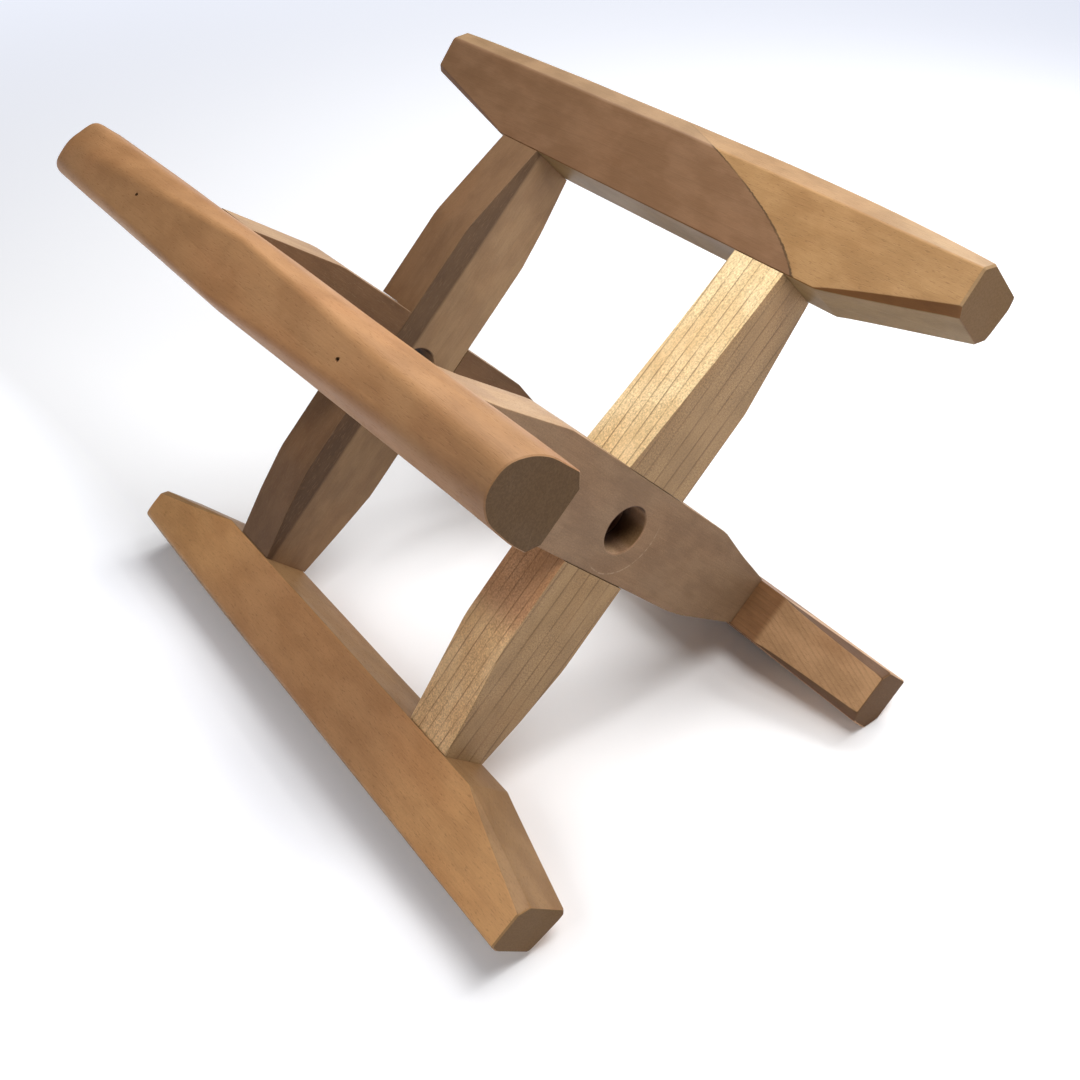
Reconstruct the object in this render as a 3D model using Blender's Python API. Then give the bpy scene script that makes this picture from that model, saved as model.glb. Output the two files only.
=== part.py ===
"""Four-rail winding reel: four rails nailed to two half-lapped wooden crosses.

The reel turns about the Y axis, through a bore in each cross.  Z is up and the
origin is the middle of the reel, on that axis.  All lengths are in metres.
"""

import math

import bmesh
import bpy
from mathutils import Vector

# Rails.  A radius is measured from the spindle axis, a width across the rail.
RAIL_LENGTH = 0.195
RAIL_INNER_RADIUS = 0.070
RAIL_OUTER_RADIUS = 0.0942
RAIL_INNER_WIDTH = 0.0156
RAIL_WIDTH = 0.019
RAIL_FLARE_DEPTH = 0.007
RAIL_OUTER_CHAMFER = 0.0035
RAIL_EDGE_EASE = 0.0006

# The rail ends taper: the inner face rises and the outer face dips a little.
TAPER_LENGTH = 0.0325
TAPER_INNER_RISE = 0.0095
TAPER_OUTER_DIP = 0.0020

# Crosses.
CROSS_SPACING = 0.094
ARM_THICKNESS = 0.016
ARM_MIDDLE_WIDTH = 0.0264
ARM_END_WIDTH = 0.0154
ARM_KNEE_RADIUS = 0.040
ARM_EDGE_EASE = 0.0004
BORE_DIAMETER = 0.0132
BORE_SEGMENTS = 64

# Blind tenons on the arm ends, and the gap left between pieces that touch.
TENON_LENGTH = 0.012
TENON_WIDTH = 0.009
TENON_THICKNESS = 0.010
JOINT_GAP = 0.0003
CUTTER_OVERSHOOT = 0.004

# A headless nail holds each tenon, driven in from the rail's outer face.
NAIL_RADIUS = 0.0005
NAIL_LENGTH = 0.020
NAIL_POINT_LENGTH = 0.0015
NAIL_POINT_RADIUS = 0.0001
NAIL_SINK = 0.0003
NAIL_SEGMENTS = 12

# Placing: the angle each piece makes with +X, seen from the front along +Y.
RAIL_ANGLES = {
    "upper_right_rail": math.radians(45),
    "upper_left_rail": math.radians(135),
    "lower_left_rail": math.radians(225),
    "lower_right_rail": math.radians(315),
}
ARM_ANGLES = {
    "rising_arm": math.radians(45),
    "falling_arm": math.radians(135),
}
CROSS_SIDES = {"front": -1, "back": 1}

# Linear RGB, roughness and metallic of each kind of piece.
RAIL_FINISH = ((0.40, 0.20, 0.09), 0.52, 0.0)
ARM_FINISH = ((0.50, 0.32, 0.17), 0.62, 0.0)
NAIL_FINISH = ((0.045, 0.036, 0.030), 0.6, 1.0)


def clear_scene():
    """Remove whatever the new file came with."""
    for item in list(bpy.data.objects):
        bpy.data.objects.remove(item, do_unlink=True)


def finish(body, colour, roughness, metallic):
    """Give a piece a plain material of its own."""
    material = bpy.data.materials.new(body.name)
    material.use_nodes = True
    shader = material.node_tree.nodes["Principled BSDF"]
    shader.inputs["Base Color"].default_value = (*colour, 1.0)
    shader.inputs["Roughness"].default_value = roughness
    shader.inputs["Metallic"].default_value = metallic
    body.data.materials.append(material)


def eased_outline(corners, ease):
    """Cut every corner of a closed outline back by the ease distance."""
    outline = []
    for index, corner in enumerate(corners):
        before = Vector(corners[index - 1])
        after = Vector(corners[(index + 1) % len(corners)])
        here = Vector(corner)
        outline.append(here + (before - here).normalized() * ease)
        outline.append(here + (after - here).normalized() * ease)
    return outline


def loft(name, rings):
    """Join equal rings of points with quads, and close both ends."""
    mesh = bmesh.new()
    vertex_rings = [[mesh.verts.new(point) for point in ring] for ring in rings]
    for ring, following in zip(vertex_rings, vertex_rings[1:]):
        for index in range(len(ring)):
            left = index - 1
            mesh.faces.new((ring[left], ring[index], following[index], following[left]))
    mesh.faces.new(vertex_rings[0])
    mesh.faces.new(vertex_rings[-1])
    bmesh.ops.recalc_face_normals(mesh, faces=mesh.faces)
    data = bpy.data.meshes.new(name)
    mesh.to_mesh(data)
    mesh.free()
    body = bpy.data.objects.new(name, data)
    bpy.context.scene.collection.objects.link(body)
    return body


def box(name, lower, upper):
    """Return a box between two opposite corners."""
    rings = []
    for x in (lower[0], upper[0]):
        rings.append(
            [
                (x, lower[1], lower[2]),
                (x, upper[1], lower[2]),
                (x, upper[1], upper[2]),
                (x, lower[1], upper[2]),
            ]
        )
    return loft(name, rings)


def turned(name, profile, segments):
    """Return a smooth round body about the X axis, from (x, radius) stations."""
    rings = []
    for x, radius in profile:
        ring = []
        for step in range(segments):
            angle = math.tau * step / segments
            ring.append((x, radius * math.cos(angle), radius * math.sin(angle)))
        rings.append(ring)
    body = loft(name, rings)
    for polygon in body.data.polygons:
        polygon.use_smooth = len(polygon.vertices) == 4
    return body


def place(body, angle, y=0.0):
    """Turn a piece built along local +X to its angle about the spindle axis."""
    body.location = (0.0, y, 0.0)
    body.rotation_euler = (0.0, -angle, 0.0)


def cut(body, cutter):
    """Subtract the cutter from the body, and keep the cutter out of sight."""
    cutter.hide_render = True
    cutter.display_type = "WIRE"
    modifier = body.modifiers.new(cutter.name, "BOOLEAN")
    modifier.operation = "DIFFERENCE"
    modifier.solver = "EXACT"
    modifier.object = cutter


def rail_section(y, inner_radius, outer_radius):
    """Return one ring of a rail: a flat inner face, flared sides, an outer chamfer."""
    half_inner = RAIL_INNER_WIDTH / 2
    half_width = RAIL_WIDTH / 2
    one_side = [
        (inner_radius, half_inner),
        (inner_radius + RAIL_FLARE_DEPTH, half_width),
        (outer_radius - RAIL_OUTER_CHAMFER, half_width),
        (outer_radius, half_width - RAIL_OUTER_CHAMFER),
    ]
    other_side = [(radius, -width) for radius, width in reversed(one_side)]
    outline = eased_outline(one_side + other_side, RAIL_EDGE_EASE)
    return [(point.x, y, point.y) for point in outline]


def make_rail(name, angle):
    """Build one rail, mortised for an arm of each cross, and its two nails."""
    half_length = RAIL_LENGTH / 2
    end_inner = RAIL_INNER_RADIUS + TAPER_INNER_RISE
    end_outer = RAIL_OUTER_RADIUS - TAPER_OUTER_DIP
    stations = [
        (-half_length, end_inner, end_outer),
        (-half_length + TAPER_LENGTH, RAIL_INNER_RADIUS, RAIL_OUTER_RADIUS),
        (half_length - TAPER_LENGTH, RAIL_INNER_RADIUS, RAIL_OUTER_RADIUS),
        (half_length, end_inner, end_outer),
    ]
    rail = loft(name, [rail_section(*station) for station in stations])
    place(rail, angle)
    finish(rail, *RAIL_FINISH)
    nail_name = name.removesuffix("rail")
    for cross, side in CROSS_SIDES.items():
        y = side * CROSS_SPACING / 2
        mortise = make_mortise_cutter(f"{name}_{cross}_mortise")
        nail_hole = make_nail_hole_cutter(f"{name}_{cross}_nail_hole")
        for cutter in (mortise, nail_hole):
            place(cutter, angle, y)
            cut(rail, cutter)
        place(make_nail(f"{nail_name}{cross}_nail"), angle, y)


def make_mortise_cutter(name):
    """Return the box that cuts one mortise, a joint gap larger than the tenon."""
    half_thickness = TENON_THICKNESS / 2 + JOINT_GAP
    half_width = TENON_WIDTH / 2 + JOINT_GAP
    lower = (RAIL_INNER_RADIUS - CUTTER_OVERSHOOT, -half_thickness, -half_width)
    upper = (RAIL_INNER_RADIUS + TENON_LENGTH, half_thickness, half_width)
    return box(name, lower, upper)


def make_nail(name):
    """Return a headless nail, sunk just below the rail's outer face."""
    head = RAIL_OUTER_RADIUS - NAIL_SINK
    point = head - NAIL_LENGTH
    profile = [
        (point, NAIL_POINT_RADIUS),
        (point + NAIL_POINT_LENGTH, NAIL_RADIUS),
        (head, NAIL_RADIUS),
    ]
    nail = turned(name, profile, NAIL_SEGMENTS)
    finish(nail, *NAIL_FINISH)
    return nail


def make_nail_hole_cutter(name):
    """Return the round cutter for a nail, from past its point to past the rail."""
    inner_end = RAIL_OUTER_RADIUS - NAIL_SINK - NAIL_LENGTH - JOINT_GAP
    outer_end = RAIL_OUTER_RADIUS + CUTTER_OVERSHOOT
    radius = NAIL_RADIUS + JOINT_GAP
    return turned(name, [(inner_end, radius), (outer_end, radius)], NAIL_SEGMENTS)


def arm_section(x, width, thickness):
    """Return one ring of an arm: a rectangle with eased corners."""
    half_width = width / 2
    half_thickness = thickness / 2
    corners = [
        (-half_thickness, -half_width),
        (half_thickness, -half_width),
        (half_thickness, half_width),
        (-half_thickness, half_width),
    ]
    outline = eased_outline(corners, ARM_EDGE_EASE)
    return [(x, point.x, point.y) for point in outline]


def make_arm(name, angle, y, notch_side):
    """Return an arm with a tenon at each end and a half-lap notch in the middle."""
    shoulder = RAIL_INNER_RADIUS - JOINT_GAP
    half_stations = [
        (shoulder + TENON_LENGTH - JOINT_GAP, TENON_WIDTH, TENON_THICKNESS),
        (shoulder, TENON_WIDTH, TENON_THICKNESS),
        (shoulder, ARM_END_WIDTH, ARM_THICKNESS),
        (ARM_KNEE_RADIUS, ARM_MIDDLE_WIDTH, ARM_THICKNESS),
    ]
    rings = [arm_section(-x, width, thickness) for x, width, thickness in half_stations]
    rings += [arm_section(*station) for station in reversed(half_stations)]
    arm = loft(name, rings)
    place(arm, angle, y)
    finish(arm, *ARM_FINISH)
    notch = make_notch_cutter(f"{name}_notch", notch_side)
    place(notch, angle, y)
    cut(arm, notch)
    for end, turn in (("upper", 0.0), ("lower", math.pi)):
        nail_hole = make_nail_hole_cutter(f"{name}_{end}_nail_hole")
        place(nail_hole, angle + turn, y)
        cut(arm, nail_hole)
    return arm


def make_notch_cutter(name, notch_side):
    """Return the box that removes half the thickness where the arms cross."""
    half_length = ARM_MIDDLE_WIDTH / 2 + JOINT_GAP
    half_width = ARM_MIDDLE_WIDTH / 2 + CUTTER_OVERSHOOT
    floor = -notch_side * JOINT_GAP / 2
    outside = notch_side * (ARM_THICKNESS / 2 + CUTTER_OVERSHOOT)
    lower = (-half_length, min(floor, outside), -half_width)
    upper = (half_length, max(floor, outside), half_width)
    return box(name, lower, upper)


def make_bore_cutter(name, y):
    """Return the round cutter for the spindle bore of the cross at y."""
    half_length = ARM_THICKNESS / 2 + CUTTER_OVERSHOOT
    radius = BORE_DIAMETER / 2
    bore = turned(name, [(-half_length, radius), (half_length, radius)], BORE_SEGMENTS)
    bore.location = (0.0, y, 0.0)
    bore.rotation_euler = (0.0, 0.0, math.radians(90))
    return bore


def make_cross(cross, side):
    """Build both arms of one cross, bored together."""
    y = side * CROSS_SPACING / 2
    bore = make_bore_cutter(f"{cross}_bore", y)
    notch_sides = {"rising_arm": side, "falling_arm": -side}
    for kind, angle in ARM_ANGLES.items():
        arm = make_arm(f"{cross}_{kind}", angle, y, notch_sides[kind])
        cut(arm, bore)


clear_scene()
for rail_name, rail_angle in RAIL_ANGLES.items():
    make_rail(rail_name, rail_angle)
for cross_name, cross_side in CROSS_SIDES.items():
    make_cross(cross_name, cross_side)
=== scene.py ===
"""Looks of a bare wooden winding reel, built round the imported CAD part.

Each rail, arm and nail is a detailed piece that replaces its CAD node.  Rails and arms have
eased edges, the slight unevenness of hand work, and their own cut of wood.
Lengths are in metres in the part's frame, +Y along the spindle axis and +Z up, except where
a comment says millimetres.
"""

import math

import bmesh
import bpy
from mathutils import Matrix, Vector, noise


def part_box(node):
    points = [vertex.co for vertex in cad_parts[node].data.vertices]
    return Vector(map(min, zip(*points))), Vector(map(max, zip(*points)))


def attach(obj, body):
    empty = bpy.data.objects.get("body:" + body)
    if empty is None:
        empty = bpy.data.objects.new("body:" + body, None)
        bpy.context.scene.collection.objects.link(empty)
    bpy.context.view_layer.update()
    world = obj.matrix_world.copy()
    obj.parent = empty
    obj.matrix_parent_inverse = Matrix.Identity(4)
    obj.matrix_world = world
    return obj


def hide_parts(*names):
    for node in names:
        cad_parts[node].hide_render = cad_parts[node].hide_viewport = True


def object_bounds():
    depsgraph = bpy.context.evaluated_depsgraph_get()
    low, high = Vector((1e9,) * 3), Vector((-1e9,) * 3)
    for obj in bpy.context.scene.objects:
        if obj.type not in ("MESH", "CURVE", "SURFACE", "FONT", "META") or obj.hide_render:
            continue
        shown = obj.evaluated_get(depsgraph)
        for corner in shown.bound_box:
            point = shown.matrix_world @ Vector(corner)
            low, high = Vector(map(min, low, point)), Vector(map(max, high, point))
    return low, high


BODY = "root"
MM = 0.001

# The reel's own measures, the same as in the CAD.
RAIL_INNER_RADIUS = 70.0 * MM
TENON_LENGTH = 12.0 * MM
TENON_WIDTH = 9.0 * MM
TENON_THICKNESS = 10.0 * MM
BORE_RADIUS = 6.6 * MM

# The nails, and the gaps at the joints.  A hole's floor and mouth and a nail's point are
# distances from the spindle axis.
NAIL_HOLE_RADIUS = 0.55 * MM
NAIL_HOLE_FLOOR = 73.0 * MM
NAIL_HOLE_MOUTH = 100.0 * MM
NAIL_RADIUS = 0.5 * MM
NAIL_POINT = 73.7 * MM
NAIL_POINT_LENGTH = 1.5 * MM
NAIL_POINT_RADIUS = 0.1 * MM
NAIL_SINK = 0.6 * MM
HIDDEN_GAP = 0.3 * MM
VISIBLE_GAP = 0.06 * MM

# Edges.
ARM_EDGE_EASE = 0.3 * MM
BORE_RIM_EASE = 0.25 * MM
EASE_STEPS = 4
SHARP_EDGE = math.radians(40)

# A rail's section, in millimetres.  The bevel along each edge of the slope starts at
# INNER_EDGE_NIP and grows with this power of the slope's length.
RAIL_INNER_EASE = 0.3
RAIL_SIDE_EASE = 2.0
RAIL_SIDE_LEAST = 1.0
INNER_EDGE_NIP = 0.2
NIP_GROWTH = 0.6

# Meshes.
STATION_STEP = 2.5 * MM
CREASE_HALF_WIDTH = 0.25 * MM
CREASE_CLEARANCE = 0.8 * MM
CUTTER_OVERSHOOT = 3.0 * MM
NAIL_SEGMENTS = 24
BORE_SEGMENTS = 96

# Hand work: how far a face wanders from flat, over what length, and how far apart the wander
# of two edges or two pieces is taken.
HAND_WANDER = 0.1 * MM
WANDER_LENGTH = 22.0 * MM
WANDER_LANE_STEP = 3.7
WANDER_SEED_STEP = 11.3
SPREAD_LANE = 9
SHAPE_SEED_STEP = 5
FIRST_ARM_SEED = 50
WOOD_SEED_STEP = 37.0
FIRST_ARM_WOOD_SEED = 200.0

# Each rail's angle from +X about the spindle axis, in degrees, and its measures in millimetres.
# "skyward" is the sign of the local width axis that points up.  The front values of a pair
# come before the back ones, and the upper side before the lower one.
#   ends      the y of its two ends
#   tapers    where the inner face starts to slope away, and the radius it reaches at the end
#   nips      the bevel along each edge of the slope, at the end
#   ease      how far its long edges are rounded, at the front, middle and back
#   end_ease  how far its end edges are rounded
# A section is the outer face's radius, then for each side the half width at the inner face,
# the radius and half width where the side is widest, the radius and half width of the
# shoulder, and the half width of the flat outer face.
RAILS = {
    "upper_left_rail": {
        "angle": 135,
        "skyward": -1,
        "ends": (-95.4, 97.5),
        "tapers": ((65.0, 75.8), (62.0, 79.5)),
        "nips": ((2.4, 2.2), (1.5, 1.5)),
        "ease": (2.6, 1.3, 2.4),
        "end_ease": 0.25,
        "front": (95.3, (9.4, 86.7, 9.2, 91.2, 7.6, 4.0), (7.6, 82.5, 7.4, 90.9, 6.0, 2.0)),
        "middle": (95.2, (7.8, 80.0, 9.0, 90.0, 9.1, 7.2), (7.8, 80.0, 8.8, 90.5, 8.8, 7.6)),
        "back": (91.9, (7.8, 82.0, 7.8, 88.6, 7.5, -0.6), (7.8, 82.0, 9.2, 89.5, 9.2, 7.2)),
    },
    "upper_right_rail": {
        "angle": 45,
        "skyward": 1,
        "ends": (-97.6, 97.5),
        "tapers": ((64.0, 78.0), (57.0, 79.0)),
        "nips": ((1.9, 2.0), (1.2, 1.2)),
        "ease": (0.35, 0.6, 0.8),
        "end_ease": 0.5,
        "front": (91.4, (7.6, 88.0, 9.6, 88.8, 9.6, 6.6), (7.8, 82.0, 10.0, 88.7, 10.2, 9.0)),
        "middle": (94.2, (7.6, 89.0, 9.7, 89.8, 9.7, 6.5), (7.8, 82.0, 10.0, 90.0, 10.2, 7.5)),
        "back": (93.3, (7.6, 88.0, 9.7, 89.2, 9.7, 6.5), (7.8, 82.0, 10.0, 90.0, 10.2, 7.5)),
    },
    "lower_left_rail": {
        "angle": 225,
        "skyward": -1,
        "ends": (-97.5, 97.5),
        "tapers": ((66.0, 79.2), (62.0, 79.8)),
        "nips": ((2.2, 1.0), (1.5, 1.5)),
        "ease": (0.7, 1.2, 1.2),
        "end_ease": 0.4,
        "front": (92.1, (7.8, 86.0, 9.7, 91.0, 10.1, 7.4), (8.2, 82.0, 8.6, 91.0, 5.9, 5.0)),
        "middle": (92.5, (7.8, 86.0, 9.8, 90.4, 9.8, 5.8), (7.8, 82.0, 8.8, 91.3, 8.9, 7.7)),
        "back": (91.5, (7.8, 86.0, 9.6, 89.4, 9.6, 5.5), (7.8, 82.0, 8.8, 90.0, 8.8, 6.5)),
    },
    "lower_right_rail": {
        "angle": 315,
        "skyward": 1,
        "ends": (-97.5, 97.5),
        "tapers": ((65.0, 79.6), (62.0, 79.6)),
        "nips": ((2.3, 2.2), (1.5, 1.5)),
        "ease": (0.4, 0.8, 1.0),
        "end_ease": 0.4,
        "front": (94.2, (7.3, 82.0, 7.3, 93.8, 7.3, 6.9), (8.4, 84.0, 9.8, 90.2, 10.0, 6.0)),
        "middle": (94.2, (7.3, 82.0, 7.3, 93.4, 7.3, 6.6), (8.0, 84.0, 9.8, 90.2, 10.0, 6.0)),
        "back": (92.6, (7.6, 82.0, 7.6, 91.0, 7.6, 6.0), (8.0, 84.0, 9.6, 89.0, 9.6, 6.5)),
    },
}

# Each arm's two long edges: distance from the spindle axis and half width, in millimetres,
# from the lower end to the upper end.
PLAIN_EDGE = ((-70, 7.7), (-40, 13.2), (40, 13.2), (70, 7.7))
ARMS = {
    "front_rising_arm": {
        "angle": 45,
        "upper_edge": ((-70, 7.4), (-39, 13.0), (13, 13.2), (45, 9.6), (70, 7.6)),
        "lower_edge": ((-70, 7.8), (-56, 10.8), (-39, 13.2), (40, 13.4), (70, 8.0)),
    },
    "front_falling_arm": {
        "angle": 135,
        "upper_edge": ((-70, 7.7), (-54, 10.2), (-39, 13.2), (38, 13.3), (60, 9.3), (70, 8.0)),
        "lower_edge": ((-70, 7.9), (-58, 10.1), (-44, 12.7), (-37, 13.2), (40, 13.2), (70, 7.7)),
    },
    "back_rising_arm": {
        "angle": 45,
        "upper_edge": ((-70, 7.5), (-55, 10.7), (-41, 12.9), (41, 13.1), (70, 7.8)),
        "lower_edge": ((-70, 8.2), (-54, 11.1), (-40, 13.2), (42, 12.9), (54, 11.2), (70, 8.0)),
    },
    "back_falling_arm": {
        "angle": 135,
        "upper_edge": ((-70, 7.7), (-47, 12.0), (-40, 13.3), (41, 13.1), (70, 8.0)),
        "lower_edge": PLAIN_EDGE,
    },
}

# Camera, at the photographed viewing angle.
CAMERA_PLACE = (-0.15215, -0.21801, 0.17711)
CAMERA_TARGET = (0.01631, 0.0, -0.04648)
CAMERA_ROLL = math.radians(0.56)
CAMERA_LENS_MM = 39.05
CAMERA_SENSOR_MM = 36.0

# Lamps: name, place, size and watts.
LAMPS = (
    ("left_panel", (-0.45, 0.0, 0.35), (0.30, 0.30), 1.05),
    ("right_panel", (0.45, 0.0, 0.35), (0.30, 0.30), 2.2),
    ("near_strip", (0.04, -0.12, 0.30), (0.22, 0.14), 0.95),
    ("far_panel", (0.25, 0.22, 0.45), (0.30, 0.30), 1.3),
    ("low_front", (0.17, -0.60, 0.03), (0.20, 0.12), 0.6),
)

# The floor glows faintly with distance from the reel, painted light so that it stays pale beyond
# the lamps.
# It also glows beside the reel's left side, between two values of x: painted light that clears
# the reel's shadow there.
FLOOR_SIZE = 6.0
FLOOR_COLOUR = (0.92, 0.92, 0.93, 1.0)
FLOOR_GLOW_COLOUR = (0.84, 0.88, 1.00, 1.0)
FLOOR_ROUGHNESS = 0.9
FLOOR_GLOW = 0.9
FLOOR_GLOW_START = 0.05
FLOOR_GLOW_FULL = 1.0
LEFT_GLOW = 0.42
LEFT_GLOW_START = -0.055
LEFT_GLOW_FULL = -0.105

# The pale surround, as the eye sees it and as a light.
SEEN_COLOUR = (0.93, 0.94, 0.98, 1.0)
SEEN_STRENGTH = 1.0
FILL_COLOUR = (0.96, 0.97, 1.0, 1.0)
FILL_STRENGTH = 0.03


# ---------------------------------------------------------------- woods
#
# A wood's tones are linear colours, and its lengths are in millimetres.  A pair of sizes is a
# feature's length along the grain and its width.
#   dark, light, flat_*, end_*   the two tones of the wood, of its flat sides and of end grain
#   shades                       tints that change along the grain, mostly painted light and shade; see shade_along
#   edge_band                    a painted shadow: a darker band along one edge of an arm's broad faces
#   inner_tint, bevel_tint       painted light and shade on a rail's inner face, and on the bevels beside it
#   heart, sap_*                 a rail with pale wood beyond a curved dark boundary
#   bored, depth_up, rubbed      an arm's bore: the sign of the depth axis that points up, and
#                                whether a spindle's shoulder has rubbed a ring round it
#   speckle                      how strongly the tone varies from fibre to fibre
#   relief                       the depth of the surface texture


def colour(red, green, blue):
    """Return an opaque linear colour."""
    return (red, green, blue, 1.0)


WHITE = colour(1.0, 1.0, 1.0)

RAIL_WOOD = {
    "dark": colour(0.305, 0.155, 0.067),
    "light": colour(0.361, 0.190, 0.085),
    "flat_dark": colour(0.305, 0.155, 0.067),
    "flat_light": colour(0.361, 0.190, 0.085),
    "end_dark": colour(0.145, 0.078, 0.031),
    "end_light": colour(0.172, 0.094, 0.038),
    "shades": (),
    "edge_band": None,
    "inner_tint": WHITE,
    "bevel_tint": WHITE,
    "heart": False,
    "bored": False,
    "blush": colour(0.98, 0.84, 0.76),
    "blush_share": 0.40,
    "line": colour(0.080, 0.045, 0.022),
    "line_share": 0.05,
    "line_sway": 1.5,
    "line_spacing": (5.5, 9.0),
    "line_slope": 0.004,
    "line_sharpness": 2.0,
    "fibre": 0.045,
    "fleck": colour(0.150, 0.075, 0.036),
    "fleck_size": (1.6, 0.30),
    "fleck_share": 0.22,
    "speckle_size": (0.5, 0.3),
    "speckle": 0.12,
    "roughness": (0.46, 0.58),
    "relief": 0.035,
}

RAIL_WOODS = {
    "upper_left_rail": dict(
        RAIL_WOOD,
        # Painted shade: the whole rail is darker towards its front end, to hold down the lamps'
        # highlight on its upper bevel there.
        shades=(
            {
                "centre": -97.0,
                "reach": (0.0, 62.0),
                "inner": colour(0.84, 0.84, 0.82),
                "outer": colour(1.01, 1.00, 0.97),
                "flat_only": False,
            },
        ),
        end_dark=colour(0.104, 0.057, 0.024),
        end_light=colour(0.124, 0.069, 0.030),
    ),
    "upper_right_rail": dict(
        RAIL_WOOD,
        dark=colour(0.255, 0.155, 0.072),
        light=colour(0.320, 0.200, 0.098),
        # Painted shade on the inner face and, darker still, on the bevels beside it, which face
        # down and away from the lamps.
        inner_tint=colour(0.79, 0.82, 0.75),
        bevel_tint=colour(0.53, 0.35, 0.18),
        flat_dark=colour(0.191, 0.101, 0.050),
        flat_light=colour(0.225, 0.123, 0.064),
        sap_dark=colour(0.311, 0.171, 0.068),
        sap_light=colour(0.378, 0.217, 0.091),
        heart=True,
        blush_share=0.15,
        fleck_share=0.30,
        end_dark=colour(0.170, 0.094, 0.039),
        end_light=colour(0.200, 0.112, 0.048),
    ),
    "lower_left_rail": dict(
        RAIL_WOOD,
        dark=colour(0.239, 0.130, 0.054),
        light=colour(0.290, 0.164, 0.071),
        flat_dark=colour(0.420, 0.213, 0.088),
        flat_light=colour(0.480, 0.252, 0.108),
        # Painted light and shade: the flat sides are darker in the middle, under the rail above,
        # and lighter towards both ends, where light reaches in.
        shades=(
            {
                "centre": 0.0,
                "reach": (20.0, 82.0),
                "inner": colour(0.96, 0.94, 0.96),
                "outer": colour(1.14, 1.15, 1.08),
                "flat_only": True,
            },
        ),
        # Painted highlight on the bevels beside the inner face.
        bevel_tint=colour(1.10, 1.08, 1.00),
        blush_share=0.30,
        fleck_share=0.30,
        speckle=0.20,
    ),
    "lower_right_rail": dict(
        RAIL_WOOD,
        dark=colour(0.230, 0.124, 0.056),
        light=colour(0.285, 0.158, 0.075),
        flat_dark=colour(0.250, 0.138, 0.064),
        flat_light=colour(0.310, 0.176, 0.085),
        line_spacing=(1.0, 1.5),
        line_share=0.22,
        line_sway=1.2,
        # Painted shadow: past a sharp line some 32 mm from the front end the rail is darker, the
        # front falling arm's shadow; nearer the end it is lighter.
        shades=(
            {
                "centre": -97.0,
                "reach": (31.0, 33.5),
                "inner": colour(1.62, 1.66, 1.68),
                "outer": colour(0.92, 0.82, 0.75),
                "flat_only": False,
            },
        ),
        # Painted shade on the bevels beside the inner face; the upper one lies in the shadow of
        # the rail above.
        bevel_tint=colour(0.27, 0.22, 0.18),
        end_dark=colour(0.104, 0.047, 0.015),
        end_light=colour(0.125, 0.058, 0.018),
    ),
}

PALE_ARM_WOOD = dict(
    RAIL_WOOD,
    dark=colour(0.293, 0.176, 0.080),
    light=colour(0.344, 0.210, 0.097),
    # The flat sides are far paler than the broad faces: partly the pale wood, partly painted
    # light on the brightly lit upper side.
    flat_dark=colour(0.698, 0.501, 0.273),
    flat_light=colour(0.800, 0.605, 0.359),
    shades=(
        # Painted shade: the flat sides are darker on the lower half of the arm.
        {
            "centre": 70.0,
            "reach": (62.0, 84.0),
            "inner": colour(0.98, 0.98, 0.94),
            "outer": colour(0.78, 0.66, 0.57),
            "flat_only": True,
        },
        # Painted shadow: the flat sides are darker just below the crossing, under the falling arm
        # and the upper left rail's end.
        {
            "centre": -16.0,
            "reach": (13.0, 24.0),
            "inner": colour(0.66, 0.54, 0.52),
            "outer": WHITE,
            "flat_only": True,
        },
    ),
    inner_tint=None,
    bored=True,
    depth_up=1.0,
    rubbed=False,
    blush=colour(0.97, 0.86, 0.76),
    blush_share=0.40,
    line=colour(0.150, 0.075, 0.030),
    line_share=0.75,
    line_sway=0.7,
    line_spacing=(2.9, 4.8),
    line_slope=0.004,
    line_sharpness=20.0,
    fibre=0.05,
    fleck=colour(0.250, 0.150, 0.080),
    fleck_size=(1.0, 0.25),
    fleck_share=0.25,
    speckle_size=(0.48, 0.40),
    speckle=1.30,
    roughness=(0.50, 0.62),
    relief=0.05,
)

BROWN_ARM_WOOD = dict(
    PALE_ARM_WOOD,
    dark=colour(0.265, 0.160, 0.086),
    light=colour(0.315, 0.197, 0.105),
    flat_dark=colour(0.320, 0.200, 0.115),
    flat_light=colour(0.385, 0.250, 0.140),
    shades=(),
    depth_up=-1.0,
    line_share=0.12,
    line_sharpness=3.0,
    fleck_size=(2.4, 0.26),
    fleck_share=0.30,
    speckle=0.25,
)

ARM_WOODS = {
    "front_rising_arm": PALE_ARM_WOOD,
    "front_falling_arm": dict(
        BROWN_ARM_WOOD,
        dark=colour(0.207, 0.121, 0.064),
        light=colour(0.249, 0.149, 0.080),
        rubbed=True,
        fleck_share=0.50,
        speckle=0.55,
    ),
    "back_rising_arm": dict(
        BROWN_ARM_WOOD,
        depth_up=1.0,
        dark=colour(0.258, 0.156, 0.081),
        light=colour(0.310, 0.193, 0.100),
        # The flat sides are darker than the broad faces: partly the wood, partly painted shade,
        # as less light reaches them.
        flat_dark=colour(0.166, 0.090, 0.045),
        flat_light=colour(0.202, 0.113, 0.057),
        # Darker on the lower half of the arm, on every face.
        shades=(
            {
                "centre": 70.0,
                "reach": (50.0, 90.0),
                "inner": WHITE,
                "outer": colour(0.78, 0.75, 0.73),
                "flat_only": False,
            },
        ),
        # Painted shadow: a dark band along the upper edge of the broad faces, the shadow of the
        # front rising arm.
        edge_band={"start": (4.9, 6.3), "tint": colour(0.40, 0.36, 0.34)},
    ),
    "back_falling_arm": dict(
        BROWN_ARM_WOOD,
        dark=colour(0.127, 0.063, 0.027),
        light=colour(0.156, 0.079, 0.035),
    ),
}

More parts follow.
